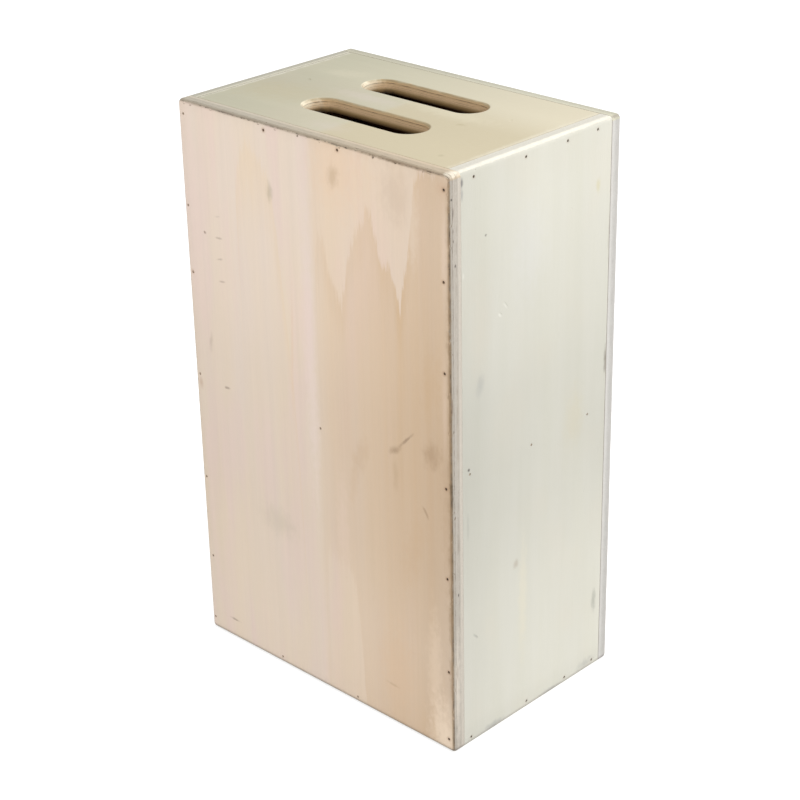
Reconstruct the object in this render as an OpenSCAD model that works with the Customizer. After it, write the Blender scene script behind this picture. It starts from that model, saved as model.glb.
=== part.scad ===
// Apple box: a closed plywood platform box, standing on one end.
// Seven boards are butted, glued and nailed. Two broad boards and two narrow boards make the walls,
// an end board with two hand slots closes each end, and a divider crosses the hollow half-way up.
// The origin is on the floor under the middle of the box, with +Z up and the broad faces at -Y and +Y.

/* [Box] */
// Length of the box, which is its height as it stands on end
box_length = 508; // [440:1:600]
// Width across the broad faces
box_width = 305; // [260:1:400]
// Depth of the box, across the narrow faces
box_depth = 203; // [190:1:300]
// Radius that every outer edge and corner is rounded to
edge_radius = 4; // [2:0.5:6]

/* [Boards] */
// Thickness of the two broad boards
broad_thickness = 12; // [9:0.5:18]
// Thickness of the two narrow boards
narrow_thickness = 12; // [9:0.5:18]
// Thickness of the two end boards
end_thickness = 12; // [9:0.5:18]
// Thickness of the divider inside
divider_thickness = 12; // [9:0.5:18]
// Width of the small bevel where a board lies flush between its neighbours
flush_bevel = 0.4; // [0.2:0.1:0.8]

/* [Hand slots] */
// Length of a hand slot, end to end
slot_length = 128; // [100:1:180]
// Width of a hand slot
slot_width = 32; // [26:1:38]
// Distance between the centre lines of the two slots in an end
slot_pitch = 70; // [56:1:90]
// Radius of the eased rim on the outer face
slot_rim_radius = 3; // [1:0.5:5]

/* [Nails] */
// Length of a nail, head and point included
nail_length = 32; // [24:1:40]
// Diameter of the shank
nail_shank = 1.6; // [1.2:0.1:2]
// Diameter of the head
nail_head = 2.4; // [2.2:0.1:3]
// Thickness of the head
nail_head_height = 0.8; // [0.5:0.1:1.5]
// Length of the tapered point
nail_point = 2; // [1:0.5:4]
// How far the head is sunk below the face of the board
nail_sink = 0.7; // [0.3:0.1:1.5]
// Distance by which nails driven from two faces pass each other
nail_miss = 6; // [5:0.5:12]
// How far a nail strays along its row
nail_stray = 5; // [0:0.5:7]
// How far a nail strays to either side of its row
nail_wander = 1.5; // [0:0.25:2]

/* [Hidden] */
$fn = 48;

broad_veneer = [0.86, 0.74, 0.62];
narrow_veneer = [0.87, 0.85, 0.78];
end_veneer = [0.82, 0.78, 0.66];
inside_veneer = [0.74, 0.64, 0.50];
nail_steel = [0.30, 0.27, 0.25];

half_width = box_width / 2;
half_depth = box_depth / 2;
middle = box_length / 2;
// The hollow between the broad boards and between the narrow boards
hollow_depth = box_depth - 2 * broad_thickness;
hollow_width = box_width - 2 * narrow_thickness;
// How far a cutter runs past the face that it opens
past = 1;

// Places of the nails along a row, as shares of the way from the middle of the row to its end
long_row_shares = [-1, -0.72, -0.38, 0, 0.4, 0.68, 1];
broad_end_shares = [-0.37, 0.26];
broad_divider_shares = [0.03];
narrow_end_shares = [-0.87, -0.12, 0.42, 0.85];
narrow_divider_shares = [-0.9, -0.08, 0.73];

// Heights of the rows that hold the end boards and the divider
bottom_row = end_thickness / 2;
top_row = box_length - end_thickness / 2;
// A long row's last nails stay clear of the rows into the end boards
long_row_reach = middle - bottom_row - nail_miss;

// The angle about +Z that brings the front to each face
front_angle = 0;
right_angle = 90;
back_angle = 180;
left_angle = 270;

// A row of nails is [angle of its face, heads]. A head is [distance right of the face's middle, height].
// Each row has a seed of its own, so that its nails stray in their own way and stay where they are.

// A nail's height in a long row. The middle nail passes above (1) or below (-1) the divider's nails.
function long_row_height(share, pass, stray) =
    middle + share * long_row_reach + (share == 0 ? pass * nail_miss : abs(share) == 1 ? 0 : stray);

// A row from a broad board into a narrow one: side is -1 at the left of the face and 1 at its right
function long_row(face_angle, side, pass, seed) =
    let (count = len(long_row_shares))
    let (strays = rands(-nail_stray, nail_stray, count, seed))
    let (wanders = rands(-nail_wander, nail_wander, count, seed + 1))
    [face_angle, [for (i = [0 : count - 1]) [
        side * (half_width - narrow_thickness / 2) + wanders[i],
        long_row_height(long_row_shares[i], pass, strays[i])
    ]]];

// A level row at a height, across a hollow of the given width
function level_row(face_angle, shares, across, height, seed) =
    let (count = len(shares))
    let (strays = rands(-nail_stray, nail_stray, count, seed))
    let (wanders = rands(-nail_wander, nail_wander, count, seed + 1))
    [face_angle, [for (i = [0 : count - 1]) [shares[i] * across / 2 + strays[i], height + wanders[i]]]];

// The rows of a broad face that hold an end board and the divider
function broad_end_row(face_angle, height, seed) =
    level_row(face_angle, broad_end_shares, hollow_width, height, seed);
function broad_divider_row(face_angle, seed) =
    level_row(face_angle, broad_divider_shares, hollow_width, middle, seed);

// The rows of a narrow face that hold an end board and the divider
function narrow_end_row(face_angle, height, seed) =
    level_row(face_angle, narrow_end_shares, hollow_depth, height, seed);
function narrow_divider_row(face_angle, seed) =
    level_row(face_angle, narrow_divider_shares, hollow_depth, middle, seed);

front_left_row = long_row(front_angle, -1, 1, 723);
front_right_row = long_row(front_angle, 1, -1, 358);
front_top_row = broad_end_row(front_angle, top_row, 649);
front_bottom_row = broad_end_row(front_angle, bottom_row, 289);
front_divider_row = broad_divider_row(front_angle, 239);

back_left_row = long_row(back_angle, 1, 1, 61);
back_right_row = long_row(back_angle, -1, -1, 62);
back_top_row = broad_end_row(back_angle, top_row, 63);
back_bottom_row = broad_end_row(back_angle, bottom_row, 64);
back_divider_row = broad_divider_row(back_angle, 65);

left_top_row = narrow_end_row(left_angle, top_row, 66);
left_bottom_row = narrow_end_row(left_angle, bottom_row, 67);
left_divider_row = narrow_divider_row(left_angle, 68);

right_top_row = narrow_end_row(right_angle, top_row, 117);
right_bottom_row = narrow_end_row(right_angle, bottom_row, 189);
right_divider_row = narrow_divider_row(right_angle, 129);

// ---- Nails ----

// One nail, driven along +Z from a face at z = 0: a sunk head, a shank and a tapered point
module nail() {
    shank_end = nail_sink + nail_length - nail_point;
    translate([0, 0, nail_sink]) cylinder(d = nail_head, h = nail_head_height);
    translate([0, 0, nail_sink + nail_head_height / 2])
        cylinder(d = nail_shank, h = shank_end - nail_sink - nail_head_height / 2);
    translate([0, 0, shank_end]) cylinder(d1 = nail_shank, d2 = nail_shank / 4, h = nail_point);
}

// The hole that the nail fills, open to the face above its head
module nail_hole() {
    nail();
    translate([0, 0, -past]) cylinder(d = nail_head, h = past + nail_sink + nail_head_height / 2);
}

// Puts its child at each head of a row, with the child's +Z pointing into the box
module at_heads(row) {
    face_angle = row[0];
    reach = face_angle == front_angle || face_angle == back_angle ? half_depth : half_width;
    for (head = row[1])
        rotate([0, 0, face_angle]) translate([head[0], -reach, head[1]]) rotate([-90, 0, 0]) children();
}

module nails(row) {
    color(nail_steel) at_heads(row) nail();
}

module nail_holes(rows) {
    for (row = rows) at_heads(row) nail_hole();
}

// ---- Boards ----

// A rectangle about the origin with round corners
module round_rectangle(width, height) {
    square([width - 2 * edge_radius, height], center = true);
    square([width, height - 2 * edge_radius], center = true);
    for (x = [-1, 1], y = [-1, 1])
        translate([x * (width / 2 - edge_radius), y * (height / 2 - edge_radius)]) circle(edge_radius);
}

// Puts its child at each corner of the box, turned so that the corner points along +X, +Y and +Z
module at_corners() {
    for (x = [0, 1], y = [0, 1], z = [0, 1])
        mirror([x, 0, 0]) mirror([0, y, 0]) mirror([0, 0, z])
            translate([half_width - edge_radius, half_depth - edge_radius, middle - edge_radius]) children();
}

// The box's outside as one block: every edge is rounded, and every corner is an eighth of a ball
module rounded_block() {
    translate([0, 0, middle]) {
        difference() {
            intersection() {
                linear_extrude(box_length, center = true) round_rectangle(box_width, box_depth);
                rotate([90, 0, 0])
                    linear_extrude(box_depth, center = true) round_rectangle(box_width, box_length);
                rotate([90, 0, 90])
                    linear_extrude(box_width, center = true) round_rectangle(box_depth, box_length);
            }
            at_corners() cube(edge_radius + past);
        }
        at_corners() intersection() {
            cube(edge_radius);
            sphere(edge_radius);
        }
    }
}

// A rectangle about the origin with small bevelled corners
module bevelled_rectangle(width, height) {
    x = width / 2;
    y = height / 2;
    polygon([
        [-x, flush_bevel - y], [flush_bevel - x, -y], [x - flush_bevel, -y], [x, flush_bevel - y],
        [x, y - flush_bevel], [x - flush_bevel, y], [flush_bevel - x, y], [-x, y - flush_bevel]
    ]);
}

// A broad board: direction is -1 for the front one and 1 for the back one
module broad_board(direction, rows) {
    color(broad_veneer) difference() {
        intersection() {
            rounded_block();
            translate([0, direction * (half_depth - broad_thickness / 2), middle])
                cube([box_width, broad_thickness, box_length], center = true);
        }
        nail_holes(rows);
    }
}

// A narrow board between the broad boards: direction is -1 for the left one and 1 for the right one
module narrow_board(direction, rows) {
    color(narrow_veneer) difference() {
        intersection() {
            rounded_block();
            translate([direction * (half_width - narrow_thickness / 2), 0, middle])
                cube([narrow_thickness, hollow_depth, box_length], center = true);
            // Bevels down the outer face, seen from above
            linear_extrude(box_length) bevelled_rectangle(box_width, hollow_depth);
            // Bevels across the ends, seen from the side
            translate([0, 0, middle]) rotate([90, 0, 90])
                linear_extrude(box_width, center = true) bevelled_rectangle(hollow_depth, box_length);
        }
        nail_holes(rows);
    }
}

// Half the section of a hand slot, with its middle at x = 0 and the outer face at y = 0
module slot_half_section() {
    half_slot = slot_width / 2;
    difference() {
        translate([0, -end_thickness - past])
            square([half_slot + slot_rim_radius, end_thickness + 2 * past]);
        translate([half_slot, -end_thickness - 2 * past])
            square([slot_rim_radius + past, end_thickness + 2 * past - slot_rim_radius]);
        translate([half_slot + slot_rim_radius, -slot_rim_radius]) circle(slot_rim_radius);
    }
}

// A hand slot's cutter along X, with the outer face at z = 0: a straight run and two round ends
module slot_cutter() {
    run = slot_length - slot_width;
    rotate([90, 0, 90]) linear_extrude(run, center = true) {
        slot_half_section();
        mirror([1, 0]) slot_half_section();
    }
    for (side = [-1, 1])
        translate([side * run / 2, 0, 0]) rotate([0, 0, -side * 90])
            rotate_extrude(angle = 180) slot_half_section();
}

// An end board, let in flush between the walls: direction is -1 for the bottom and 1 for the top
module end_board(direction, rows) {
    outer_face = middle * (1 + direction);
    color(end_veneer) difference() {
        intersection() {
            translate([0, 0, outer_face - direction * end_thickness / 2])
                cube([hollow_width, hollow_depth, end_thickness], center = true);
            // Bevels round the outer face, seen from the front and from the side
            translate([0, 0, middle]) rotate([90, 0, 0])
                linear_extrude(hollow_depth, center = true) bevelled_rectangle(hollow_width, box_length);
            translate([0, 0, middle]) rotate([90, 0, 90])
                linear_extrude(hollow_width, center = true) bevelled_rectangle(hollow_depth, box_length);
        }
        for (side = [-1, 1])
            translate([0, side * slot_pitch / 2, outer_face])
                rotate([direction > 0 ? 0 : 180, 0, 0]) slot_cutter();
        nail_holes(rows);
    }
}

module front_board() {
    broad_board(-1, [front_left_row, front_right_row, front_top_row, front_bottom_row, front_divider_row]);
}

module back_board() {
    broad_board(1, [back_left_row, back_right_row, back_top_row, back_bottom_row, back_divider_row]);
}

module left_board() {
    narrow_board(-1, [front_left_row, back_left_row, left_top_row, left_bottom_row, left_divider_row]);
}

module right_board() {
    narrow_board(1, [front_right_row, back_right_row, right_top_row, right_bottom_row, right_divider_row]);
}

module top_end() {
    end_board(1, [front_top_row, back_top_row, left_top_row, right_top_row]);
}

module bottom_end() {
    end_board(-1, [front_bottom_row, back_bottom_row, left_bottom_row, right_bottom_row]);
}

// The divider fills the hollow from wall to wall, half-way up
module centre_divider() {
    color(inside_veneer) difference() {
        translate([0, 0, middle]) cube([hollow_width, hollow_depth, divider_thickness], center = true);
        nail_holes([front_divider_row, back_divider_row, left_divider_row, right_divider_row]);
    }
}

// Each row of nails is named for the board it is driven through and the board it holds
module front_left_nails() { nails(front_left_row); }
module front_right_nails() { nails(front_right_row); }
module front_top_nails() { nails(front_top_row); }
module front_bottom_nails() { nails(front_bottom_row); }
module front_divider_nail() { nails(front_divider_row); }
module back_left_nails() { nails(back_left_row); }
module back_right_nails() { nails(back_right_row); }
module back_top_nails() { nails(back_top_row); }
module back_bottom_nails() { nails(back_bottom_row); }
module back_divider_nail() { nails(back_divider_row); }
module left_top_nails() { nails(left_top_row); }
module left_bottom_nails() { nails(left_bottom_row); }
module left_divider_nails() { nails(left_divider_row); }
module right_top_nails() { nails(right_top_row); }
module right_bottom_nails() { nails(right_bottom_row); }
module right_divider_nails() { nails(right_divider_row); }

front_board();
back_board();
left_board();
right_board();
top_end();
bottom_end();
centre_divider();
front_left_nails();
front_right_nails();
front_top_nails();
front_bottom_nails();
front_divider_nail();
back_left_nails();
back_right_nails();
back_top_nails();
back_bottom_nails();
back_divider_nail();
left_top_nails();
left_bottom_nails();
left_divider_nails();
right_top_nails();
right_bottom_nails();
right_divider_nails();
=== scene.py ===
# %% [markdown]
# # Dressing a plywood apple box
# An apple box is the hollow plywood box that film crews stand on, sit on and build with. This one is a full
# apple: 508 x 305 x 203 mm, stood on end, with two hand slots cut through each end board. Its solids come
# ready made, board by board and nail by nail, so this lesson is about what makes bare solids look like a box
# that has been thrown in and out of a truck: the figure of each sheet of veneer, the plies that show wherever
# the wood was cut, dull nail heads, and years of small knocks.

# %% Load the solids and measure them
import itertools
import math
import random
from functools import partial

import bmesh
import bpy
from mathutils import Matrix, Vector, noise


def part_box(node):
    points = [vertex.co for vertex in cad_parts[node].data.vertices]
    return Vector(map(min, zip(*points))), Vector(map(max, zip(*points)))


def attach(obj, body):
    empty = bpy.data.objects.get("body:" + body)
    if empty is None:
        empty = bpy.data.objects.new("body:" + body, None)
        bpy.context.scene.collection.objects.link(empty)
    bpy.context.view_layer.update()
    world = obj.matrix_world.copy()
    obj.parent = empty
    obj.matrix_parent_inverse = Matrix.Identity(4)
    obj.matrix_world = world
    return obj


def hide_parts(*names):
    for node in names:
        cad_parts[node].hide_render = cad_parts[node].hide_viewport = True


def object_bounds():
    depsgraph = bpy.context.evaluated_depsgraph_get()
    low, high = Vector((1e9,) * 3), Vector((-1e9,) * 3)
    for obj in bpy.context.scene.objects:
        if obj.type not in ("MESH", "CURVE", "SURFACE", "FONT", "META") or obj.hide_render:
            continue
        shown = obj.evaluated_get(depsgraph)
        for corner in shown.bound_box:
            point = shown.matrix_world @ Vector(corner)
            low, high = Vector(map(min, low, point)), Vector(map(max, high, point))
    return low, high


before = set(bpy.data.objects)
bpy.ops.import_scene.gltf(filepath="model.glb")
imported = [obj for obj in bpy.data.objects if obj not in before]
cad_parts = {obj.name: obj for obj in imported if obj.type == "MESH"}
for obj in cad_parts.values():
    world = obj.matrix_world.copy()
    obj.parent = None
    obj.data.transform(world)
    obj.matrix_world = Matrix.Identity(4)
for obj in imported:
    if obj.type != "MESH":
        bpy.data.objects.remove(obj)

MM = 0.001  # metres in a millimetre, because Blender works in metres here
cad_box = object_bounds()
low, high = (corner / MM for corner in cad_box)
print("The box in mm:", [round(h - l, 1) for l, h in zip(low, high)], "made of", len(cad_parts), "nodes")

# %% [markdown]
# ## The camera
# A shop shows its goods from well back through a long lens, so that upright edges stay nearly upright. The
# lens is a 90 mm on a 36 mm wide sensor, 1.73 m from the middle of the box, turned 44 degrees to the right of
# its broad face and 25 degrees up. The camera is aimed with three unit vectors instead of Euler angles,
# because they can be read: where it looks, what is right in the picture and what is up. A hand-held camera is
# never quite level, so right and up are rolled by a degree.

# %% Aim the camera
azimuth, elevation, roll = math.radians(44.28), math.radians(25.26), math.radians(-1.22)
distance, lens, sensor = 1733 * MM, 90.3, 36.0
slide_right, slide_up = -0.98 * MM, -9.02 * MM  # so the box sits a little above the picture's middle

across_floor = Vector((-math.sin(azimuth), math.cos(azimuth), 0))
looks = across_floor * math.cos(elevation) - Vector((0, 0, math.sin(elevation)))
level_right = looks.cross(Vector((0, 0, 1))).normalized()
level_up = level_right.cross(looks)
picture_right = math.cos(roll) * level_right + math.sin(roll) * level_up
picture_up = -math.sin(roll) * level_right + math.cos(roll) * level_up

middle = (cad_box[0] + cad_box[1]) / 2
camera = bpy.data.objects.new("camera", bpy.data.cameras.new("camera"))
camera.data.lens, camera.data.sensor_width = lens, sensor
camera.data.clip_end = 100  # m, past the far side of the floor
camera.matrix_world = Matrix.Translation(
    middle - looks * distance + picture_right * slide_right + picture_up * slide_up
) @ Matrix((picture_right, picture_up, -looks)).transposed().to_4x4()
bpy.context.collection.objects.link(camera)
bpy.context.scene.camera = camera
print("Camera at, in m:", [round(v, 3) for v in camera.matrix_world.translation])

# %% [markdown]
# ## Colours and nodes
# Paint charts and colour pickers give sRGB hex codes, but shader sockets want linear light, so one function
# turns the first into the second. A second one adds a shader node: it takes the node's settings by name and
# its inputs either as values or as another node's output, which it links. Every material below is made of
# calls to it, so a material reads from the inside out, like a formula.

# %% Two helpers for materials
def srgb(code):
    """An sRGB hex code as the linear colour that a socket takes."""
    channels = [int(code[i : i + 2], 16) / 255 for i in (0, 2, 4)]
    return [c / 12.92 if c <= 0.04045 else ((c + 0.055) / 1.055) ** 2.4 for c in channels] + [1.0]


def new_finish(name):
    """A new empty material, and the function that adds nodes to it."""
    material = bpy.data.materials.new(name)
    material.use_nodes = True
    tree = material.node_tree
    tree.nodes.clear()

    def add(kind, inputs=(), out=0, **settings):
        """Adds a node, fills or links its inputs, and returns the output named or numbered by out. What a
        node does can follow its kind, as in Math.ADD."""
        kind, _, what = kind.partition(".")
        made = tree.nodes.new("ShaderNode" + kind)
        if what:
            made.operation = what
        for name, value in settings.items():
            setattr(made, name, value)
        for socket, value in inputs.items() if isinstance(inputs, dict) else enumerate(inputs):
            if isinstance(value, bpy.types.NodeSocket):
                tree.links.new(value, made.inputs[socket])
            else:
                made.inputs[socket].default_value = value
        return made.outputs[out] if made.outputs else made

    return material, add


FROM, TO, BLEND = 6, 7, 2  # a Mix node's two colour inputs and its colour output
print("Half grey, hex 808080, is", round(srgb("808080")[0], 3), "in linear light")

# %% [markdown]
# ## The studio
# The box stands in soft, even light, as goods do in a catalogue. The floor is one large sheet of white
# acrylic that is lit from below too, the old trick for losing a shadow, so it glows a little. A white world
# lights everything from all round. Three soft boxes then model the form: one close on the right and one
# behind on the right make the narrow side the brightest face and put a glint on the edge above it, and one
# far in front gently lifts the broad face.

# %% Floor, world and soft boxes
FLOOR_REACH = 8.0  # m from the middle of the floor to its sides
floor_corners = [(FLOOR_REACH * x, FLOOR_REACH * y, 0) for x, y in ((-1, -1), (1, -1), (1, 1), (-1, 1))]
floor_mesh = bpy.data.meshes.new("floor")
floor_mesh.from_pydata(floor_corners, [], [(0, 1, 2, 3)])
floor = bpy.data.objects.new("floor", floor_mesh)
floor.location.z = cad_box[0].z
bpy.context.collection.objects.link(floor)

acrylic, add = new_finish("white_acrylic_lit_from_below")
add("OutputMaterial", {"Surface": add("BsdfPrincipled", {
    "Base Color": srgb("bcbcbc"), "Roughness": 0.9, "Specular IOR Level": 0.2,
    "Emission Color": srgb("ffffff"), "Emission Strength": 0.65,
})})
floor.data.materials.append(acrylic)

world = bpy.data.worlds.new("white_tent")
world.use_nodes = True
world.node_tree.nodes["Background"].inputs["Color"].default_value = srgb("ffffff")
world.node_tree.nodes["Background"].inputs["Strength"].default_value = 1.0
bpy.context.scene.world = world
bpy.context.scene.view_settings.view_transform = "Standard"

SOFT_BOXES = {
    # name: (place in m, side in m, watts)
    "soft_box_right": ((1.0, 0.0, 1.2), 0.8, 6),
    "soft_box_behind": ((1.0, 1.3, 1.4), 1.2, 10),
    "soft_box_front": ((-0.3, -2.5, 1.2), 1.4, 8),
}
for name, (place, side, watts) in SOFT_BOXES.items():
    lamp = bpy.data.lights.new(name, "AREA")
    lamp.size, lamp.energy = side, watts
    stand = bpy.data.objects.new(name, lamp)
    stand.location = place
    stand.rotation_euler = (middle - Vector(place)).to_track_quat("-Z", "Y").to_euler()
    bpy.context.collection.objects.link(stand)
print("Lights:", len(SOFT_BOXES), "soft boxes and a white world")

# %% [markdown]
# ## Marking out a board
# A joiner measures a board from one corner of its face: so far across, so far down, so far in. The materials
# do the same. A solid's vertices are in the frame's own metres, so Object coordinates are real places, and
# three dot products turn them into millimetres across, down and into a face. Colour that is worked out this
# way goes right through the board as in real wood, so a rounded edge, a hand slot or a chip shows the ply
# that really lies at that depth.

# %% Places on a board
X, Y, Z = Vector((1, 0, 0)), Vector((0, 1, 0)), Vector((0, 0, 1))
FACES = {
    # board: (the way across its face, the way down it), seen from outside with the box stood on end
    "front_board": (X, -Z),
    "right_board": (Y, -Z),
    "back_board": (-X, -Z),
    "left_board": (-Y, -Z),
    "top_end": (X, -Y),
    "bottom_end": (X, Y),
    "centre_divider": (X, -Y),
}


def face_corner(board):
    """The top left corner of a board's face, in mm, and the ways across, down and in. Outer faces are
    measured over the whole side of the box, and the divider over the box's width at its own height."""
    across, down = FACES[board]
    inward = across.cross(down)
    corner = Vector([(low if (across + down + inward)[axis] > 0 else high)[axis] for axis in range(3)])
    if board == "centre_divider":
        corner.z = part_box(board)[1].z / MM
    return corner, across, down, inward


def board_space(add, board):
    """How far a point lies across, down and into a board in mm: as one vector, and as three numbers."""
    corner, *ways = face_corner(board)
    from_corner = add("VectorMath.SUBTRACT", [add("TexCoord", out="Object"), corner * MM])
    distances = [add("VectorMath.DOT_PRODUCT", [from_corner, way / MM], out="Value") for way in ways]
    return add("CombineXYZ", distances), *distances


print("Boards with a space of their own:", ", ".join(FACES))

# %% [markdown]
# ## Where the nails are
# Each nail was set a little below the face, and dirt has crept into the wood around it. To stain the wood in
# the right places and to keep knocks off the nails, the heads' centres are read off the nail solids:
# vertices that belong to one nail lie close together on the face. The heads of some rows were puttied over
# and show no dirt, so these rows are named here.

# %% Find the nail heads
PUTTIED = ("front_left_nails", "front_bottom_nails", "front_divider_nail", "right_divider_nails",
           "left_top_nails", "back_right_nails")
SAME_NAIL = 6  # mm; vertices closer than this on the face belong to one nail


def nail_heads(board, skip=()):
    """The centres of the nail heads in a board's face, in mm across, down and in."""
    corner, across, down, inward = face_corner(board)
    clusters = []
    for name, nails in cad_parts.items():
        if not name.startswith(board.split("_")[0]) or "nail" not in name or name in skip:
            continue
        for vertex in nails.data.vertices:
            place = vertex.co / MM - corner
            spot = Vector((place.dot(across), place.dot(down), place.dot(inward)))
            near = [cluster for cluster in clusters if (cluster[0].xy - spot.xy).length < SAME_NAIL]
            if near:
                near[0].append(spot)
            else:
                clusters.append([spot])
    heads = []
    for cluster in clusters:
        centre = sum((spot.xy for spot in cluster), Vector((0, 0))) / len(cluster)
        heads.append(Vector((centre.x, centre.y, min(spot.z for spot in cluster))))
    return heads


HEADS = {board: nail_heads(board) for board in ("front_board", "right_board", "back_board", "left_board")}
OPEN_HEADS = {board: nail_heads(board, skip=PUTTIED) for board in HEADS}
print("Nail heads found:", {board: (len(HEADS[board]), "open", len(OPEN_HEADS[board])) for board in HEADS})

# %% [markdown]
# ## Knocks, chips and scratches
# A box that gets thrown about loses slivers from its edges, most of all at the corners, and its faces pick up
# dents and scratches. Bump mapping could only shade them. Here they are real shapes: each one is bitten out
# of the wood with a squashed, lumpy ball, as a small blow would leave it. A ball is sized from the mark that
# it leaves, its half length, half width and depth in mm, and its middle lies two thirds of its radius above
# the surface, which gives the mark a shallow rim. Because the colour goes right through the boards, a deep
# bite shows the plies.

# %% Sizes of the knocks
rng = random.Random(20)
EDGE_RADIUS = 4.0  # mm, the rounding of the box's outer edges, where the bites sit
CUT_SHARE = math.sqrt(1 - (2 / 3) ** 2)  # the share of a ball's width that meets the surface
WOOD_BETWEEN = 0.4  # mm, the least wood left standing between two knocks
knocks = []  # (place, long way, outward, half length, half width, depth), all in mm


def add_knock(place, long_way, out, half_long, half_wide, depth):
    """Keeps a knock, unless it would run into one that is there already."""
    if all((place - other[0]).length > half_long + other[3] + WOOD_BETWEEN for other in knocks):
        knocks.append((place, long_way, out, half_long, half_wide, depth))


print("A ball's cut is", round(CUT_SHARE, 2), "of the width of the ball")

# %% Knocks that belong to a face
FACE_KNOCKS = {
    # board: rows of (mm across, mm down, half length, half width, depth, turn in degrees)
    "front_board": [(42, 113, 4.0, 0.7, 0.12, -6), (42, 132, 3.8, 0.6, 0.1, -15),
                    (43, 152, 4.4, 0.7, 0.12, -8), (42, 251, 3.4, 0.9, 0.2, -9),
                    (25, 112, 1.3, 1.0, 0.4, 10), (256, 231, 10, 0.8, 0.18, -46),
                    (276, 289, 7, 0.9, 0.15, 58), (33, 488, 5.5, 0.8, 0.2, 2),
                    (117, 363, 2.0, 1.6, 0.2, 30)],
    "right_board": [(57, 126.6, 2.6, 0.9, 0.3, 40), (63.6, 121, 4.2, 0.7, 0.25, 52),
                    (40, 57, 0.9, 0.8, 0.4, 0), (27, 405, 4.0, 0.8, 0.3, 45),
                    (150, 388, 2.4, 0.8, 0.25, 80)],
    "top_end": [(46, 95, 3.5, 1.2, 0.3, 30), (228, 106, 3.0, 1.4, 0.3, -20), (262, 40, 2.0, 1.0, 0.3, 70)],
    "back_board": [(210, 90, 5.0, 0.9, 0.35, 20), (88, 300, 14, 0.9, 0.3, 62), (250, 410, 3.0, 2.2, 0.4, 0),
                   (60, 200, 4.5, 0.8, 0.3, -12)],
    "left_board": [(60, 150, 4.0, 0.9, 0.35, -40), (130, 330, 8.0, 0.8, 0.3, 70),
                   (90, 440, 2.0, 1.6, 0.4, 0)],
    "bottom_end": [(60, 40, 5.0, 1.4, 0.4, 15), (240, 160, 9.0, 1.0, 0.35, -35), (200, 30, 2.5, 2.0, 0.4, 0),
                   (40, 150, 6.0, 1.0, 0.3, 60)],
}
DENTS_PER_FACE = 9
DENT_MARGIN = 20  # mm from the sides of a face to its outermost dent
NAIL_MARGIN = 6  # mm kept clear round a nail
SLOT_REACH = 78  # mm kept clear to the left and right of a face's middle, for the hand slots
SLOT_BAND = (8, 60)  # mm kept clear above and below it


def random_dent(wide, tall):
    """Where a dent lies on a face of this size, its half sizes and depth, and its turn in degrees."""
    return (rng.uniform(DENT_MARGIN, wide - DENT_MARGIN), rng.uniform(DENT_MARGIN, tall - DENT_MARGIN),
            rng.uniform(1.5, 5), rng.uniform(1.0, 3.0), rng.uniform(0.12, 0.28), rng.uniform(0, 180))


for board, rows in FACE_KNOCKS.items():
    corner, across, down, inward = face_corner(board)
    size = high - low
    wide, tall = abs(across.dot(size)), abs(down.dot(size))
    dents = [random_dent(wide, tall) for _ in range(DENTS_PER_FACE)]
    for x, y, half_long, half_wide, depth, turn in rows + dents:
        on_nail = any((head.xy - Vector((x, y))).length < half_long + NAIL_MARGIN
                      for head in HEADS.get(board, ()))
        beside_middle = abs(x - wide / 2) < SLOT_REACH + half_long
        on_slot = board.endswith("_end") and beside_middle and SLOT_BAND[0] < abs(y - tall / 2) < SLOT_BAND[1]
        if on_nail or on_slot:
            continue
        angle = math.radians(turn)
        add_knock(corner + across * x + down * y, math.cos(angle) * across + math.sin(angle) * down, -inward,
                  half_long, half_wide, depth)
print("Knocks in the faces:", len(knocks))

# %% Knocks along the edges and at the corners
MM_PER_CHIP = 11  # one try for every so many mm of edge
CORNER_MARGIN = 9  # mm of every edge's end that is left to the corner knocks
NIBBLES = 26  # out of the veneer below the front's top edge
KNOCKS_PER_CORNER = 4
centre, half = (low + high) / 2, (high - low) / 2
for axis, along in enumerate((X, Y, Z)):
    first, second = [way for way in (X, Y, Z) if way != along]
    for one in (-first, first):
        for two in (-second, second):
            core = (centre + one * (abs(half.dot(one)) - EDGE_RADIUS)
                    + two * (abs(half.dot(two)) - EDGE_RADIUS))
            reach = half[axis] - CORNER_MARGIN
            for _ in range(int(2 * reach / MM_PER_CHIP)):
                lean = math.radians(rng.uniform(12, 78))
                out = math.cos(lean) * one + math.sin(lean) * two
                slant = (along + rng.uniform(-0.25, 0.25) * (one - two)).normalized()
                slant = (slant - slant.dot(out) * out).normalized()
                place = core + along * rng.uniform(-reach, reach) + out * EDGE_RADIUS
                half_long = 0.7 + 3.4 * rng.random() ** 2.2  # mostly short, and now and then long
                add_knock(place, slant, out, half_long, rng.uniform(0.45, 1.1), rng.uniform(0.12, 0.45))
for _ in range(NIBBLES):  # the worst of it, closer together towards the left
    lean = math.radians(rng.uniform(48, 74))
    out = math.cos(lean) * Z - math.sin(lean) * Y
    core = Vector((low.x + 8 + 290 * rng.random() ** 1.4, low.y + EDGE_RADIUS, high.z - EDGE_RADIUS))
    add_knock(core + out * EDGE_RADIUS, X, out,
              rng.uniform(0.8, 2.6), rng.uniform(0.6, 1.4), rng.uniform(0.35, 0.75))
edge_knocks = len(knocks)
for signs in itertools.product((-1, 1), repeat=3):
    core = centre + Vector([s * (h - EDGE_RADIUS) for s, h in zip(signs, half)])
    for _ in range(KNOCKS_PER_CORNER):
        out = Vector([s * rng.uniform(0.25, 1) for s in signs]).normalized()
        add_knock(core + out * EDGE_RADIUS, out.orthogonal().normalized(), out,
                  rng.uniform(0.9, 2.0), rng.uniform(0.7, 1.4), rng.uniform(0.2, 0.5))
print("Knocks in all:", len(knocks), "of which at the corners:", len(knocks) - edge_knocks)

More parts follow.
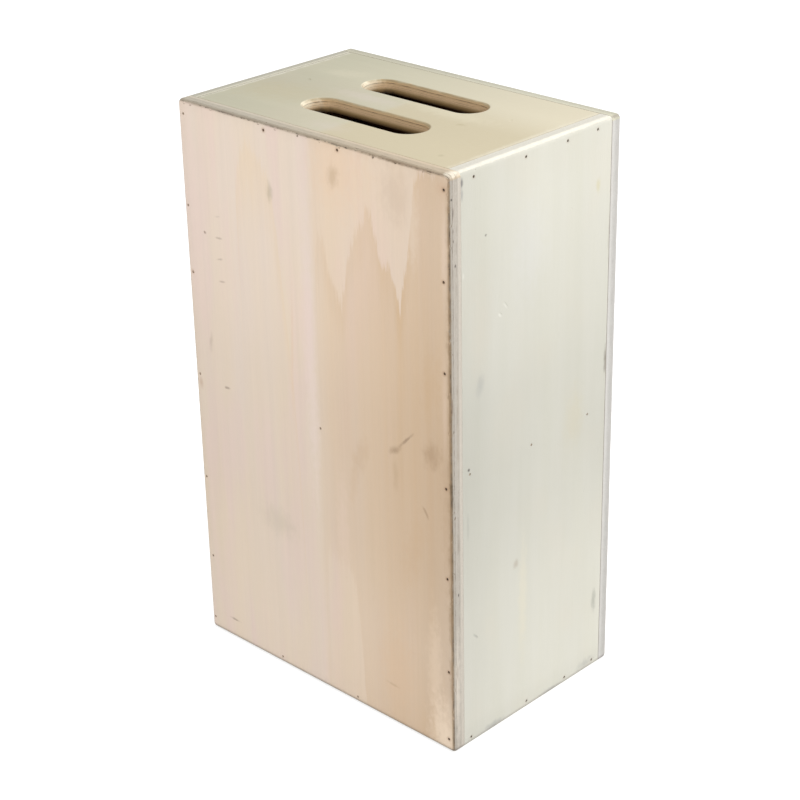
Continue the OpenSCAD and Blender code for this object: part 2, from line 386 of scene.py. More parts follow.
# %% [markdown]
# ## Biting the knocks out
# Every board gets a worn copy. The copy's vertices are joined first, because the solid comes with a separate
# set of vertices for each face, and a boolean needs a closed skin. The balls near the board are made into one
# cutting mesh, and the Manifold solver takes them out in one go. Weighted normals then let the large flat
# faces win over the slivers beside them, so flat stays flat and round stays round. The copy takes the solid's
# place in the picture, and the solid stays behind it, hidden.

# %% One cutter for all the knocks near a board
BALL_LUMPS = 0.16  # how far a ball swells and shrinks, as a share of its size
LUMPS_ACROSS = 1.7  # how many lumps there are over half a ball, about
LONG_KNOCK = 3  # mm of half length; balls longer than this get more faces, to look smooth


def cutting_balls(near):
    """One mesh of lumpy balls, one for each of these knocks."""
    balls = bmesh.new()
    for place, long_way, out, half_long, half_wide, depth in near:
        wide_way = out.cross(long_way)
        fineness = 3 if half_long > LONG_KNOCK else 2
        fresh = bmesh.ops.create_icosphere(balls, subdivisions=fineness, radius=1)["verts"]
        for vertex in fresh:
            lump = 1 + BALL_LUMPS * noise.noise(vertex.co * LUMPS_ACROSS + place)
            a, b, c = vertex.co * lump
            # three depths in radius, its middle two depths above the wood: so a ball bites one depth deep
            vertex.co = MM * (place + long_way * a * half_long / CUT_SHARE
                              + wide_way * b * half_wide / CUT_SHARE + out * (c * 3 + 2) * depth)
    mesh = bpy.data.meshes.new("knocks")
    balls.to_mesh(mesh)
    balls.free()
    return mesh


print("Knocks that get a finer ball:", sum(knock[3] > LONG_KNOCK for knock in knocks))

# %% Skins that can be cut, and edges that stay crisp
WELD, SLIVER = 0.001 * MM, 0.002 * MM  # closer vertices are one, and shorter edges are taken out
SHARP_BEND = math.radians(32)  # an edge that bends more than this stays a crisp line


def closed_skin(board):
    """A solid's mesh with its doubled vertices joined."""
    skin = bmesh.new()
    skin.from_mesh(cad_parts[board].data)
    bmesh.ops.remove_doubles(skin, verts=skin.verts, dist=WELD)
    mesh = bpy.data.meshes.new("worn_" + board)
    skin.to_mesh(mesh)
    skin.free()
    return mesh


def bite_out(piece, near):
    """Takes these knocks out of a piece."""
    cutter = bpy.data.objects.new("cutter", cutting_balls(near))
    bpy.context.collection.objects.link(cutter)
    bite = piece.modifiers.new("bite", "BOOLEAN")
    bite.operation, bite.solver, bite.object = "DIFFERENCE", "MANIFOLD", cutter
    bitten = bpy.data.meshes.new_from_object(piece.evaluated_get(bpy.context.evaluated_depsgraph_get()))
    piece.modifiers.clear()
    bpy.data.objects.remove(cutter)
    piece.data = bitten


def smooth_between_sharp_edges(mesh):
    """Smooth shading, but not across the edges that bend sharply."""
    mesh.shade_smooth()
    skin = bmesh.new()
    skin.from_mesh(mesh)
    bmesh.ops.dissolve_degenerate(skin, edges=skin.edges, dist=SLIVER)
    for edge in skin.edges:
        bend = edge.calc_face_angle(None)  # None where not just two faces meet, which is left crisp
        edge.smooth = bend is not None and bend < SHARP_BEND
    skin.to_mesh(mesh)
    skin.free()


print("Edges stay crisp from", round(math.degrees(SHARP_BEND)), "degrees")


def worn_board(board):
    """A copy of a board with the knocks bitten out, riding on the box in the solid's place."""
    piece = bpy.data.objects.new("worn_" + board, closed_skin(board))
    bpy.context.collection.objects.link(piece)
    least, most = (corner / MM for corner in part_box(board))
    near = [knock for knock in knocks
            if all(l - knock[3] - 1 < p < m + knock[3] + 1 for l, p, m in zip(least, knock[0], most))]
    if near:
        bite_out(piece, near)
    smooth_between_sharp_edges(piece.data)
    piece.modifiers.new("flat_stays_flat", "WEIGHTED_NORMAL").keep_sharp = True
    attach(piece, "root")
    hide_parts(board)
    print(board, "has", len(near), "knocks and", len(piece.data.polygons), "faces")
    return piece


WORN = {board: worn_board(board) for board in FACES}

# %% [markdown]
# ## Patterns that wood is made of
# Rotary-cut veneer is peeled off the log like paper off a roll, so everything in it is drawn out along the
# grain: colour drifts over a hand's width, streaks are some millimetres wide and as long as the board, and
# pores are fine dashes. One stretched noise makes them all, given the size of one streak in millimetres.
# Real pores are 0.1 mm wide, too fine to show at this distance, so they are drawn 0.6 mm wide.

# %% Streaks, shading and curves
TROUGH, CREST = 0.3, 0.7  # a noise lies between these, near enough
FAR = 600  # mm, past the end of every board, where the curves along a board end
BRIGHTEST = 1.1  # the top of the curves that make a board lighter and darker


def streaks(add, spot, size, seed, detail=2.0, rough=0.5):
    """Noise, drawn out along the grain. size is a streak's width, length and depth in mm."""
    far_off = (seed * 7.3, seed * 3.1, seed * 5.7)  # so that no two patterns repeat each other
    stretched = add("VectorMath.MULTIPLY_ADD", [spot, [1 / s for s in size], far_off])
    return add("TexNoise", {"Vector": stretched, "Scale": 1.0, "Detail": detail, "Roughness": rough})


GRAIN = ((2.0, 0.5), (3.0, 0.55), (3.0, 0.6), (2.0, 0.6))  # the detail and roughness of each pattern


def grain(add, spot, sizes, seed):
    """The four patterns of a veneer, for four sizes of streak: the slow changes of colour in the log, its
    years of growth, fine streaks, and fibres and pores."""
    return [streaks(add, spot, size, seed + number, *kind) for number, (size, kind)
            in enumerate(zip(sizes, GRAIN))]


def shade(add, colour, pattern, spread):
    """A colour made darker and lighter by this share of itself, where a noise is low and high."""
    light = add("MapRange", [pattern, TROUGH, CREST, 1 - spread, 1 + spread], clamp=False)
    return add("VectorMath.SCALE", {0: colour, 3: light})


def drawn_curve(add, value, points, reach, top):
    """A number that follows a drawn line over 0 to reach. points are (value, number), and no number
    is above top."""
    curve = add("FloatCurve", {"Value": add("Math.DIVIDE", [value, reach])})
    line = curve.node.mapping.curves[0]
    for number, (x, y) in enumerate(points):
        if number < 2:
            line.points[number].location = (x / reach, y / top)
        else:
            line.points.new(x / reach, y / top)
    for point in line.points:
        point.handle_type = "VECTOR"
    curve.node.mapping.update()
    return add("Math.MULTIPLY", [curve, top])


def soft_step(add, value, start, end, reach=1.0):
    """Rises smoothly from 0 to reach while a value goes from start to end."""
    return add("MapRange", [value, start, end, 0.0, reach], interpolation_type="SMOOTHSTEP")


def tint(add, colour, weight, other):
    """Blends a colour with another, by a weight."""
    if isinstance(other, str):
        other = srgb(other)
    return add("Mix", {0: weight, FROM: colour, TO: other}, out=BLEND, data_type="RGBA")


print("Curves along a board run to", FAR, "mm, and the tallest board ends at", round((high - low).z), "mm")

# %% [markdown]
# ## The plies
# Twelve-millimetre plywood is a stack of seven veneers, each laid across the last. Wherever the sheet was cut
# or rounded, the stack shows: pale bands where a veneer is seen along its grain, duller ones where its ends
# are seen, and thin dark glue lines in between, broken where the glue ran thin. The stack is a grey ramp over
# the depth from the face, which a board's own colour is multiplied by. The ramp's alpha says where the glue
# is, so that its lines can be broken up without touching the bands.

# %% The stack of plies
BOARD = 12.0  # mm thick
THICKNESSES = (1.0, 2.1, 2.6, 1.4, 1.7, 2.2, 1.0)  # mm, from the outer face in
GLUE_LINE = 0.4  # mm; a real one is 0.1 mm, drawn coarser to show
RAMP_TOP = 1.5  # a ramp's colours stop at 1, so it holds each lightness as a share of this


def ply_stack(add, spot, deep, edge_colour, lightness, glue):
    """The colour of the plies at a depth, and how much of a glue line shows there. lightness has a number
    for each ply, and glue one for each line between them."""
    wander = streaks(add, spot, (30, 30, 30), seed=1.7, detail=3)  # no ply is quite even in thickness
    depth = add("Math.ADD", [deep, add("MapRange", [wander, TROUGH, CREST, -0.25, 0.25])])
    band = add("ValToRGB", [add("Math.DIVIDE", [depth, BOARD])])
    ramp = band.node.color_ramp
    ramp.interpolation = "CONSTANT"
    for _ in range(2 * len(THICKNESSES) - 3):  # a stop for each ply and line, less a new ramp's two
        ramp.elements.new(1.0)
    stops, reached = iter(ramp.elements), 0.0
    for thick, light, line in zip(THICKNESSES, lightness, (*glue, None)):
        stop = next(stops)
        stop.position, stop.color = reached / BOARD, [light / RAMP_TOP] * 3 + [0.0]
        reached += thick
        if line is not None:
            stop = next(stops)
            stop.position, stop.color = (reached - GLUE_LINE) / BOARD, [light / RAMP_TOP] * 3 + [line]
    light = add("Math.MULTIPLY", [band, RAMP_TOP])
    wood = add("VectorMath.SCALE", {0: srgb(edge_colour)[:3], 3: light})
    wood = shade(add, wood, streaks(add, spot, (1.5, 1.5, 0.5), seed=4.1), 0.08)
    broken = add("MapRange", [streaks(add, spot, (9, 9, 6), seed=2.9, detail=3), 0.38, 0.62, 0.15, 1.0])
    return wood, add("Math.MULTIPLY", [band.node.outputs["Alpha"], broken])


print(len(THICKNESSES), "plies make", round(sum(THICKNESSES), 1), "mm")

# %% [markdown]
# ## The broad veneer
# The broad boards are faced with a warm, pinkish sapwood. Where the knife went through the heart of the log
# the veneer turns tan, and because the log tapers, the border between the two is drawn out into tall flames.
# The outline of the flames is a curve over the width of the board: for each place across, how far down the
# tan begins. Noise that is short across the grain and long along it gives that border its torn, feathered
# look. Two more curves say how strong the tan is from left to right and from top to bottom.

# %% Sapwood, heartwood and flames
WIDTH, HEIGHT = high.x - low.x, high.z - low.z
NEVER = FAR  # mm down, for a border that never begins
FRONT_FIGURE = {
    "seam": 158.5,  # mm across, where a straight border parts the pale left half from the warm right one
    "flames": [(0, NEVER), (157, NEVER), (158.5, 96), (166, 78), (172, 102), (180, 122), (187, 135),
               (191, 120), (195, 94), (201, 76), (209, 62), (214, 55), (219, 40), (222, 50), (227, 66),
               (231, 82), (240, 88), (246, 96), (252, 124), (255, 100), (259, 84), (263, 66), (267, 22),
               (272, 0), (305, 0)],
    "faint": [(0, NEVER), (64, NEVER), (66, 86), (68, 52), (75, 32), (79, 26), (82, 15), (86, 27), (92, 24),
              (100, 34), (110, 53), (115, 100), (119, 140), (123, 180), (128, 240), (132, 350), (134, NEVER),
              (305, NEVER)],
    "sap_again": [(0, NEVER), (158, NEVER), (160, 362), (176, 368), (186, 372), (194, 382), (198, 430),
                  (203, 508), (205, NEVER), (305, NEVER)],
    "across": [(0, 0.0), (158, 0.30), (170, 0.55), (195, 0.66), (215, 0.78), (235, 0.92), (262, 1.0),
               (285, 1.1), (305, 0.86)],
    "down": [(0, 0.72), (60, 0.82), (150, 0.98), (260, 1.08), (340, 0.95), (420, 0.74), (470, 0.85),
             (508, 0.98)],
}
BROAD_GRAIN = ((42, 260, 40), (11, 420, 40), (2.2, 120, 20), (0.6, 9, 4))  # mm wide, long and deep
STRONGEST = 1.25  # the top of the curves that say how strong the tan is
TORN = 11.0  # mm up and down, by which the grain tears the border of a flame


def below(add, down, line, torn):
    """How far a point lies below a line, in mm, with the line torn up by a noise in mm."""
    return add("Math.ADD", [add("Math.SUBTRACT", [down, line]), torn])


def broad_veneer(add, spot, across, down, figure, seed, sap="cebeaf", heart="bfa68a"):
    """Pinkish sapwood with tan heartwood in flames. Also gives the fibres, for the gloss and the bump."""
    drift, years, fine, fibre = grain(add, spot, BROAD_GRAIN, seed)
    torn = add("MapRange", [streaks(add, spot, (2.6, 30, 30), seed=seed + 4, detail=4, rough=0.7),
                            TROUGH, CREST, -TORN, TORN], clamp=False)
    lines = {name: below(add, down, drawn_curve(add, across, figure[name], WIDTH, NEVER), torn)
             for name in ("flames", "faint", "sap_again")}

    # the tan: strong inside the flames, less where sapwood comes back low down, and a little of it between
    # the flames, right of the seam
    flame = soft_step(add, lines["flames"], -5, 7)
    strength = add("Math.MULTIPLY", [drawn_curve(add, across, figure["across"], WIDTH, STRONGEST),
                                     drawn_curve(add, down, figure["down"], HEIGHT, STRONGEST)])
    again = soft_step(add, lines["sap_again"], -6, 14, 0.45)
    strength = add("Math.MULTIPLY", [strength, add("Math.SUBTRACT", [1.0, again])])
    wavy = add("Math.ADD", [across, add("MapRange", [torn, -TORN, TORN, -1.4, 1.4])])
    tongue = soft_step(add, wavy, figure["seam"] - 9, figure["seam"] + 3, 0.34)
    heartwood = add("Mix", {0: flame, 2: tongue, 3: strength})

    # flames are darkest just below their border, and the faint ones show only there
    tip = add("Math.MULTIPLY", [flame, soft_step(add, lines["flames"], 50, 3, 0.16)])
    faint = add("Math.MULTIPLY", [soft_step(add, lines["faint"], -6, 8),
                                  soft_step(add, lines["faint"], 80, 3, 0.42)])
    amount = add("Math.ADD", [heartwood, tip])
    amount = add("Math.MULTIPLY", [amount, add("MapRange", [years, TROUGH, CREST, 0.88, 1.12])])

    # sapwood with its yellow drift, its blush and the faint flames, then the tan over it
    sapwood = tint(add, srgb(sap), add("MapRange", [drift, 0.35, 0.65, 0, 0.7]), "cebca4")
    blush = streaks(add, spot, (24, 150, 40), seed=seed + 5)
    sapwood = tint(add, sapwood, add("MapRange", [blush, 0.5, 0.66, 0, 0.6]), "cfb9af")
    sapwood = tint(add, sapwood, faint, "cfb99c")
    wood = add("Mix", {0: amount, FROM: sapwood, TO: srgb(heart)}, out=BLEND, data_type="RGBA",
               clamp_factor=False)
    for pattern, spread in ((drift, 0.015), (years, 0.015), (fine, 0.014), (fibre, 0.016)):
        wood = shade(add, wood, pattern, spread)
    return wood, fibre


starts = [down for _, down in FRONT_FIGURE["flames"] if down < NEVER]
print("Right of the seam the front's tan begins", min(starts), "to", max(starts), "mm down")

# %% [markdown]
# ## The narrow and end veneers
# The narrow boards and the ends are cut from a paler sheet, creamy and a little green, with a quiet straight
# grain. The same streaks do, with gentler colours and no heartwood.

# %% Pale straight-grained veneer
PALE_GRAIN = ((45, 150, 40), (19, 260, 40), (2.4, 90, 20), (0.6, 9, 4))  # mm wide, long and deep


def pale_veneer(add, spot, across, down, light, dark, seed, along="down", blush="c8b8a6"):
    """Cream veneer between two near colours, with a warm blush here and there and a straight grain that
    runs down or across the face. It is the same all over, so it leaves across and down unused. Also gives
    the fibres."""
    sizes = PALE_GRAIN
    if along == "across":
        sizes = [(length, width, depth) for width, length, depth in sizes]
    drift, years, fine, fibre = grain(add, spot, sizes, seed)
    wood = tint(add, srgb(light), add("MapRange", [years, TROUGH, CREST]), dark)
    blushing = streaks(add, spot, (60, 80, 50), seed=seed + 4)
    wood = tint(add, wood, soft_step(add, blushing, 0.5, 0.7, 0.2), blush)
    for pattern, spread in ((drift, 0.018), (fine, 0.007), (fibre, 0.012)):
        wood = shade(add, wood, pattern, spread)
    return wood, fibre


print("Streaks in the pale veneer are", [width for width, *_ in PALE_GRAIN], "mm wide")

# %% [markdown]
# ## Marks and stains
# Marks are what tells one board from another: a greenish mineral streak, dashes left by a clamp, a long black
# rub, a round wet stain. Each is a soft spot, stretched, turned and given a ragged outline. Dirt also gathers
# in a ring round every nail, which needs only the distance to the closest head.

# %% Spots, and rings round the nails
MARK_FADE = (1.3, 0.1)  # in half sizes from a mark's middle: where it begins and where it is at full strength


def mark(add, colour, spot, row, ragged):
    """Lays one mark over a colour. row is (place across, down and in, half sizes, turn, colour, strength)."""
    place, size, turn, other, strength = row
    inside = add("Mapping", {"Vector": spot, "Location": place, "Rotation": (0, 0, math.radians(turn)),
                             "Scale": size}, vector_type="TEXTURE")
    reach = add("Math.ADD", [add("VectorMath.LENGTH", [inside], out="Value"), ragged])
    return tint(add, colour, soft_step(add, reach, *MARK_FADE, strength), other)


def nearest(add, spot, places):
    """The distance in mm from a point to the closest of some places."""
    gap = None
    for place in places:
        here = add("VectorMath.DISTANCE", [spot, place], out="Value")
        gap = here if gap is None else add("Math.MINIMUM", [gap, here])
    return gap


print("Rings of dirt to draw:", sum(len(heads) for heads in OPEN_HEADS.values()))

# %% [markdown]
# ## What edges, slots and roundings do to the colour
# Three things depend on the shape. Light that gets deep into a hand slot comes back dimmer, and browner,
# since it has met the wood several times, which is painted into the colour as shade. Dirt creeps in from the
# sides of a face, so a board has to know how far off its nearest side is. Rounded places and bites are
# rubbed, and on the narrow right side painted pale as a highlight; they are known by their normal, which
# points along no axis.

# %% Slot light, distance to the sides and flatness
BROWNING = (1.12, 1.5)  # powers by which green and blue light are lost in a slot faster than red


def slot_light(add, colour, deep, tone_and_shade_in):
    """A colour in the light that is left at this depth in a hand slot."""
    dim = drawn_curve(add, deep, tone_and_shade_in, FAR, BRIGHTEST)
    browned = add("CombineXYZ", [dim, *[add("Math.POWER", [dim, power]) for power in BROWNING]])
    return add("VectorMath.MULTIPLY", [colour, browned])


def side_gap(add, board, across, down):
    """How far off the nearest side of a board's face is, in mm."""
    wide, tall = (abs(way.dot(high - low)) for way in FACES[board])
    return add("Math.MINIMUM", [
        add("Math.MINIMUM", [across, add("Math.SUBTRACT", [wide, across])]),
        add("Math.MINIMUM", [down, add("Math.SUBTRACT", [tall, down])])])


def how_flat(add, board, side_lean):
    """1 where the surface looks straight along an axis, and less where it is round or bitten. side_lean
    above 1 keeps places that look left or right flat for longer."""
    x = add("SeparateXYZ", [add("VectorMath.ABSOLUTE", [add("NewGeometry", out="Normal")])])
    y, z = x.node.outputs[1:]
    if board.endswith("_end"):  # the curved walls of a slot stand upright too, and are cut, not worn
        upright = add("VectorMath.LENGTH", [add("CombineXYZ", [x, y, 0.0])], out="Value")
    else:
        upright = add("Math.MAXIMUM", [add("Math.MULTIPLY", [x, side_lean]), y])
    return add("Math.MAXIMUM", [upright, z])


print("Faces are", sorted({round(abs(way.dot(high - low))) for ways in FACES.values() for way in ways}),
      "mm across or down")

# %% [markdown]
# ## From veneer to finished board
# Every board is finished the same way. The veneer lies on the plies, and marks and nail stains lie on the
# veneer. Gentle curves across and down a face make parts of it lighter or darker: wood tone together with
# painted light and shade, where the lamps light a face unevenly. The cut edges are tinted from left to right,
# and once more below the edge that looks up, because end grain drinks more lacquer in one place than in
# another. Dirt lies on what is rubbed, by a curve of its own down the board; on the narrow right side that
# colour is pale and paints a highlight on the rounded edges. A dark band at the foot is grime and painted
# contact shadow. Thin satin lacquer over sanded wood has the usual index of 1.5 and a roughness near 0.5, so
# the eye gets a soft sheen, and it is duller where it has worn off.

# %% Finish a board
VENEER = 0.85  # mm of face veneer left after sanding, give or take the chewing of its border
CHEWED = 0.7  # mm of that chewing
EVEN = [(0, 1.0), (FAR, 1.0)]
# The lightness of each ply and the strength of each glue line, from the outer face in.
PLAIN_EDGE = (0.95, 0.82, 0.9, 0.95, 1.0, 1.1, 1.1), (0.6, 0.3, 0.3, 0.35, 0.25, 0.2)
UNTINTED = ("ffffff", "ffffff", "ffffff")
RAGGED = 0.3  # half sizes, or mm, by which outlines of marks and rings are ragged
# Each pair says where something begins and where it is complete.
NAIL_STAIN = (3.4, 1.0)  # mm from the middle of a nail
EDGE_TINT = (60, 260)  # mm across, from the left tint to the right one
BELOW_TOP = (3.2, 4.6)  # mm down, from the edge that looks up to those below it
CREEPING_DIRT = (11, -1)  # mm from the side of the face
ROUND_ENOUGH = (0.985, 0.94)  # flatness, for the stains of the edges
GRIME_AND_CONTACT_SHADOW = (5.5, 2.5)  # mm up from the foot of an upright board, for its grime and painted contact shadow
HIDDEN_FACE = (BOARD - 0.04, BOARD - 0.01)  # mm deep; it looks into the box and was never lacquered, and its dark brown there is painted shade
PORE_DEPTH = 0.3 * MM  # for the bump; real pores are a tenth of that, too shallow to show


def dress_board(board, veneer, marks=(), edge_colour="a89c8c", plies=PLAIN_EDGE, dirt_and_sheen="8d7f72", wear_and_sheen=0.6,
                rim=0.10, tone_and_light_across=EVEN, tone_and_light_down=EVEN, tone_and_shade_in=EVEN, inside="5e3a20", roughness=0.5,
                stains_and_light=(), rounding=(0.998, 0.88), foot_grime_and_shadow=0.5, wear_down=EVEN, end_tints=UNTINTED, ring=0.4,
                side_lean=1.0):
    """Makes a board's material and puts it on the copy with the knocks bitten out. Marks lie on the face, and
    stains_and_light, which holds edge marks, painted highlights and painted shade, on the edges.
    wear_and_sheen, rim, ring and foot_grime_and_shadow are the strengths of dirt_and_sheen on round places,
    of dirt_and_sheen along the sides of the face, of the ring round the nails, and of the grime and painted
    contact shadow at the bottom. rounding is the flatness where that begins and where it is complete.
    end_tints are those of the cut edges at the left, at the right and below the top. tone_and_light_across
    and tone_and_light_down are curves of wood colour and painted light over the face, and tone_and_shade_in
    is painted shade down a hand slot."""
    material, add = new_finish("lacquered_plywood_" + board)
    spot, across, down, deep = board_space(add, board)

    # the face: veneer, its tones with painted light and shade, marks and nail stains
    face, fibre = veneer(add, spot, across, down)
    tone_and_light = add("Math.MULTIPLY", [drawn_curve(add, across, tone_and_light_across, FAR, BRIGHTEST),
                                 drawn_curve(add, down, tone_and_light_down, FAR, BRIGHTEST)])
    face = add("VectorMath.SCALE", {0: face, 3: tone_and_light})
    ragged = add("MapRange", [streaks(add, spot, (5, 8, 5), seed=8.8, detail=4, rough=0.6),
                              TROUGH, CREST, -RAGGED, RAGGED], clamp=False)
    for row in marks:
        face = mark(add, face, spot, row, ragged)
    if OPEN_HEADS.get(board):
        gap = add("Math.ADD", [nearest(add, spot, OPEN_HEADS[board]), ragged])
        face = tint(add, face, soft_step(add, gap, *NAIL_STAIN, ring), "8a6848")

    # the cut edges: plies, the light in the slots and the tints
    cut, glue = ply_stack(add, spot, deep, edge_colour, *plies)
    if tone_and_shade_in is not EVEN:
        cut = slot_light(add, cut, deep, tone_and_shade_in)
    end_tint = tint(add, srgb(end_tints[0]), soft_step(add, across, *EDGE_TINT), end_tints[1])
    end_tint = tint(add, end_tint, soft_step(add, down, *BELOW_TOP), end_tints[2])
    cut = add("VectorMath.MULTIPLY", [cut, end_tint])
    chewed = add("MapRange", [streaks(add, spot, (8, 8, 6), seed=9.4, detail=5, rough=0.75),
                              0.32, 0.68, -CHEWED, CHEWED])
    bare = add("MapRange", [add("Math.ADD", [deep, chewed]), VENEER - 0.1, VENEER + 0.1])
    wood = tint(add, face, bare, cut)

    # dirt along the sides of the face, then dirt on all that is rubbed, which on the right side is pale and
    # paints a highlight
    creep = add("Math.ADD", [side_gap(add, board, across, down), add("Math.MULTIPLY", [ragged, 9.0])])
    wood = tint(add, wood, soft_step(add, creep, *CREEPING_DIRT, rim), dirt_and_sheen)
    flatness = how_flat(add, board, side_lean)
    rub_and_sheen = add("MapRange", [streaks(add, spot, (14, 14, 3), seed=6.2, detail=5, rough=0.65),
                              0.3, 0.62, wear_and_sheen * 0.5, wear_and_sheen])
    rub_and_sheen = add("Math.MULTIPLY", [rub_and_sheen, drawn_curve(add, down, wear_down, FAR, BRIGHTEST)])
    worn_and_sheen = add("Math.MULTIPLY", [soft_step(add, flatness, *rounding), rub_and_sheen])
    wood = tint(add, wood, worn_and_sheen, dirt_and_sheen)

    # stains and painted light of the edges, glue lines, grime and painted contact shadow at the foot, and the
    # hidden face, painted dark as shade
    stained_and_lit = wood
    for row in stains_and_light:
        stained_and_lit = mark(add, stained_and_lit, spot, row, ragged)
    not_flat = add("Math.MAXIMUM", [bare, soft_step(add, flatness, *ROUND_ENOUGH)])
    wood = tint(add, wood, not_flat, stained_and_lit)
    wood = tint(add, wood, add("Math.MULTIPLY", [glue, bare]), "4a3a2c")
    # grime and painted contact shadow along the foot of an upright board
    if not board.endswith("_end"):
        wood = tint(add, wood, soft_step(add, down, HEIGHT - GRIME_AND_CONTACT_SHADOW[0], HEIGHT - GRIME_AND_CONTACT_SHADOW[1], foot_grime_and_shadow), "4e4236")
    # the face that looks into the box is only seen in the dark through the slots: its dark brown is painted
    # shade
    wood = tint(add, wood, soft_step(add, deep, *HIDDEN_FACE), inside)

    gloss = add("MapRange", [add("Math.ADD", [worn_and_sheen, fibre]), 0.3, 1.2, roughness, roughness + 0.3])
    bump = add("Bump", {"Strength": 0.25, "Distance": PORE_DEPTH, "Height": fibre})
    add("OutputMaterial", {"Surface": add("BsdfPrincipled", {
        "Base Color": wood, "Roughness": gloss, "Normal": bump, "IOR": 1.5,
    })})
    WORN[board].data.materials.clear()
    WORN[board].data.materials.append(material)
    print("Finished", board, "with", len(marks), "marks and", len(material.node_tree.nodes), "nodes")


# %% [markdown]
# ## The broad front
# This is the face with the most history. Each row gives a mark's place in mm across, down and in from the top
# left corner, its half sizes, its turn in degrees, its colour and its strength.

# %% Front board
FRONT_MARKS = [
    ((182, 27, 0), (7, 10, 4), 8, "8a7550", 0.42),
    ((108, 57, 0), (4, 9, 4), 0, "857a5e", 0.36),
    ((25, 112, 0), (2.0, 1.8, 3), 0, "6d5a4a", 0.6),
    ((42, 94, 0), (4, 1.0, 3), -12, "806f60", 0.2),
    ((42, 113, 0), (4.5, 1.2, 3), -6, "6c5a4c", 0.4),
    ((42, 132, 0), (4.2, 1.1, 3), -15, "6c5a4c", 0.32),
    ((43, 152, 0), (4.8, 1.2, 3), -8, "6c5a4c", 0.38),
    ((42, 251, 0), (3.8, 1.5, 3), -9, "5a463a", 0.55),
    ((24, 213, 0), (2.2, 10, 3), 6, "857464", 0.28),
    ((256, 231, 0), (11, 1.5, 3), -46, "6a5238", 0.5),
    ((243, 244, 0), (9, 3.6, 3), -35, "7e6446", 0.5),
    ((284, 236, 0), (10, 13, 4), 12, "8a6c4a", 0.42),
    ((276, 289, 0), (7, 1.8, 3), 58, "7c6244", 0.42),
    ((100, 361, 0), (25, 15, 4), 8, "968f78", 0.2),
    ((33, 488, 0), (7, 1.2, 3), 2, "6c5848", 0.45),
    ((304, 256, 1), (2.4, 3.4, 4), 0, "241a14", 0.95),
    ((298, 12, 0), (8, 6, 4), 0, "a8794f", 0.15),
    ((304.6, 254, 0), (4.4, 400, 3), 0, "866a4b", 0.7),
    ((250, 28, 0), (18, 26, 4), 0, "b09a86", 0.3),
    ((267, 44, 0), (7, 42, 4), 0, "cdbba8", 0.5),
    ((299, 262, 0), (7, 100, 4), 0, "a58a6c", 0.4),
    ((294, 500, 0), (18, 44, 5), 0, "dccab4", 0.6),
    ((188, 20, 0), (34, 42, 8), 0, "d4b393", 0.3),
    ((284, 436, 0), (9, 60, 8), 0, "cdb8a0", 0.5),
    ((240, 450, 0), (24, 52, 8), 0, "c2a283", 0.3),
    ((149, 180, 0), (8, 150, 6), 0, "d3c0bc", 0.35),
    ((299, 62, 0), (3.6, 46, 5), 0, "d2bdaa", 0.4),
    ((298, 190, 0), (3.0, 50, 5), 0, "ccb6a2", 0.35),
    ((283, 178, 0), (12, 34, 5), 8, "b3946f", 0.3),
    ((204, 262, 0), (9, 20, 5), 20, "ab8f70", 0.26),
    ((196, 286, 0), (5, 30, 5), 10, "b39677", 0.22),
    ((262, 330, 0), (12, 44, 5), 14, "b0906c", 0.22),
    ((180, 340, 0), (8, 60, 5), 0, "cbb5a6", 0.35),
    ((214, 330, 0), (4, 70, 5), 0, "b8a084", 0.25),
    ((127, 190, 0), (1.6, 60, 4), 3, "c9ab90", 0.35),
    ((62, 440, 0), (3.5, 70, 4), 0, "c6b8a4", 0.3),
    ((6, 152, 0), (2.2, 3, 3), 0, "a17e60", 0.35),
    ((7, 256, 0), (2.8, 7, 3), 0, "946f52", 0.35),
    ((243, 268, 0), (3.5, 15, 3), 0, "9c8361", 0.25),
    ((235, 470, 0), (8, 1.6, 3), 5, "8d7452", 0.3),
]
FRONT_STAINS_AND_GLINT = [
    # the plies of the edge that faces right: a painted glint at the top corner, with black specks and dashes
    ((302.6, 260, 0.2), (2.6, 400, 2.2), 0, "78603f", 0.5),
    ((305, 200, 7.1), (4, 60, 1.5), 0, "9c9284", 0.6),
    ((305, 24, 5.2), (4, 22, 0.8), 0, "a0968a", 0.55),
    ((305, 445, 3.2), (4, 50, 0.9), 0, "a89c8c", 0.55),
    # a painted glint on the top corner of this edge
    ((303, 0, 6), (6, 3, 9), 0, "ece5d4", 0.75),
    ((305, 445, 5), (4, 62, 4), 0, "cfc5b7", 0.5),
    ((305, 19, 2.4), (3, 1.2, 1.0), 0, "2a1f18", 0.9),
    ((305, 30, 3.5), (3, 4.0, 0.6), 0, "4a3b30", 0.7),
    ((305, 44, 3.4), (3, 2.4, 0.6), 0, "3a2d24", 0.8),
    ((305, 52, 3.6), (3, 1.6, 0.6), 0, "3a2d24", 0.7),
    ((305, 72, 5.6), (3, 1.6, 1.0), 0, "2a211b", 0.9),
    ((305, 188, 1.6), (3, 9.0, 0.8), 0, "6b5540", 0.6),
    ((305, 262, 0.8), (3, 16, 1.2), 0, "3b3020", 0.8),
    ((305, 310, 7.0), (3, 12, 1.8), 0, "8a8276", 0.55),
    ((305, 357, 6.4), (3, 1.8, 1.0), 0, "241c18", 0.9),
    ((305, 430, 4.6), (3, 9.0, 0.8), 0, "7a6a5c", 0.5),
    # nibbled places along the top edge
    ((60, 0, 0.6), (16, 3.2, 1.4), 0, "77695d", 0.5),
    ((112, 0, 0.8), (13, 2.6, 1.2), 0, "6f6155", 0.5),
    ((256, 0.4, 0.7), (44, 3.2, 1.3), 0, "7a654e", 0.62),
]
WORN_EDGE = (0.84, 0.84, 0.88, 0.93, 0.88, 1.08, 1.08), (0.95, 0.7, 0.35, 0.6, 0.1, 0.2)
